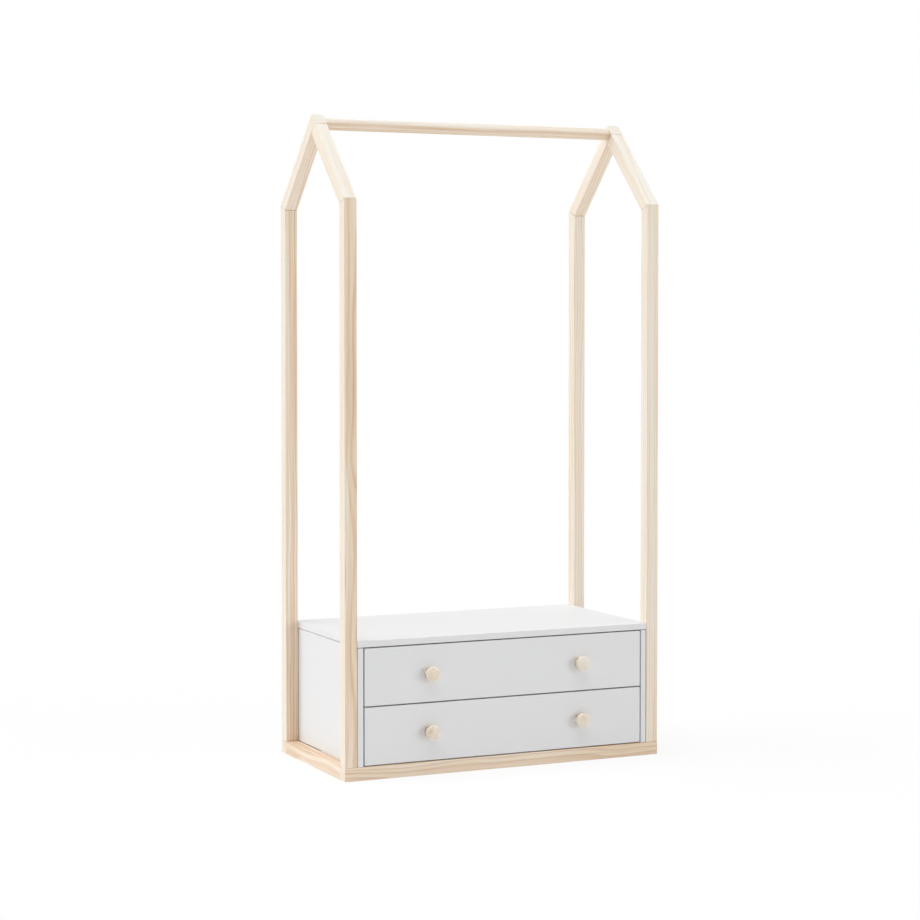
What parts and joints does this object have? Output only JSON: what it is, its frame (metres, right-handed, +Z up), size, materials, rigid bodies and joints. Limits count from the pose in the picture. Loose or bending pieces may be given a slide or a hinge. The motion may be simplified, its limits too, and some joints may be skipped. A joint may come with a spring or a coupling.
{
  "type": "wardrobe",
  "caption": "Open child's wardrobe: house-shaped pine end frames with a round hanging rail between their peaks, over a painted chest of inset drawers with turned knobs.",
  "frame": {"origin": "on the floor under the middle of the bounding box, knobs included", "axes": "+Z up, +X to the right of someone facing the drawers, -Y towards that person"},
  "size_m": [0.9, 0.4754, 1.69],
  "materials": {
    "pine": "clear matt lacquer on planed pine",
    "painted_board": "satin off-white paint",
    "knob_wood": "turned, clear satin lacquer",
    "drawer_board": "pale plywood, clear matt lacquer",
    "hardboard": "thin board with a pale matt face",
    "dowel_beech": "raw beech",
    "runner_steel": "zinc-plated",
    "screw_steel": "zinc-plated"
  },
  "bodies": {
    "wardrobe": {"base_front_rail": "pine", "base_back_rail": "pine", "base_left_rail": "pine", "base_right_rail": "pine", "chest_top_panel": "painted_board", "chest_left_panel": "painted_board", "chest_right_panel": "painted_board", "chest_bottom_panel": "painted_board", "chest_back_panel": "hardboard", "hanging_rail": "pine", "left_front_post": "pine", "left_front_rafter": "pine", "left_front_eave_dowel": "dowel_beech", "left_front_post_screw": "screw_steel", "left_back_post": "pine", "left_back_rafter": "pine", "left_back_eave_dowel": "dowel_beech", "left_back_post_screw": "screw_steel", "left_peak_dowel": "dowel_beech", "left_rail_screw": "screw_steel", "right_front_post": "pine", "right_front_rafter": "pine", "right_front_eave_dowel": "dowel_beech", "right_front_post_screw": "screw_steel", "right_back_post": "pine", "right_back_rafter": "pine", "right_back_eave_dowel": "dowel_beech", "right_back_post_screw": "screw_steel", "right_peak_dowel": "dowel_beech", "right_rail_screw": "screw_steel", "upper_left_runner_cabinet_member": "runner_steel", "upper_right_runner_cabinet_member": "runner_steel", "lower_left_runner_cabinet_member": "runner_steel", "lower_right_runner_cabinet_member": "runner_steel"},
    "upper_drawer": {"upper_drawer_front": "painted_board", "upper_drawer_left_side": "drawer_board", "upper_drawer_right_side": "drawer_board", "upper_drawer_back": "drawer_board", "upper_drawer_bottom": "hardboard", "upper_left_knob": "knob_wood", "upper_left_knob_screw": "screw_steel", "upper_left_runner_drawer_member": "runner_steel", "upper_right_knob": "knob_wood", "upper_right_knob_screw": "screw_steel", "upper_right_runner_drawer_member": "runner_steel"},
    "upper_runner_middles": {"upper_left_runner_middle_member": "runner_steel", "upper_right_runner_middle_member": "runner_steel"},
    "lower_drawer": {"lower_drawer_front": "painted_board", "lower_drawer_left_side": "drawer_board", "lower_drawer_right_side": "drawer_board", "lower_drawer_back": "drawer_board", "lower_drawer_bottom": "hardboard", "lower_left_knob": "knob_wood", "lower_left_knob_screw": "screw_steel", "lower_left_runner_drawer_member": "runner_steel", "lower_right_knob": "knob_wood", "lower_right_knob_screw": "screw_steel", "lower_right_runner_drawer_member": "runner_steel"},
    "lower_runner_middles": {"lower_left_runner_middle_member": "runner_steel", "lower_right_runner_middle_member": "runner_steel"}
  },
  "joints": [
    {"name": "upper_drawer_slide", "type": "slide", "parent": "wardrobe", "child": "upper_drawer", "axis": [0, -1, 0], "range_m": [0, 0.4]},
    {"name": "upper_runner_slide", "type": "slide", "parent": "wardrobe", "child": "upper_runner_middles", "axis": [0, -1, 0], "range_m": [0, 0.2]},
    {"name": "lower_drawer_slide", "type": "slide", "parent": "wardrobe", "child": "lower_drawer", "axis": [0, -1, 0], "range_m": [0, 0.4]},
    {"name": "lower_runner_slide", "type": "slide", "parent": "wardrobe", "child": "lower_runner_middles", "axis": [0, -1, 0], "range_m": [0, 0.2]}
  ],
  "couplings": [
    {"joint": "upper_runner_slide", "follows": "upper_drawer_slide", "ratio": 0.5},
    {"joint": "lower_runner_slide", "follows": "lower_drawer_slide", "ratio": 0.5}
  ]
}
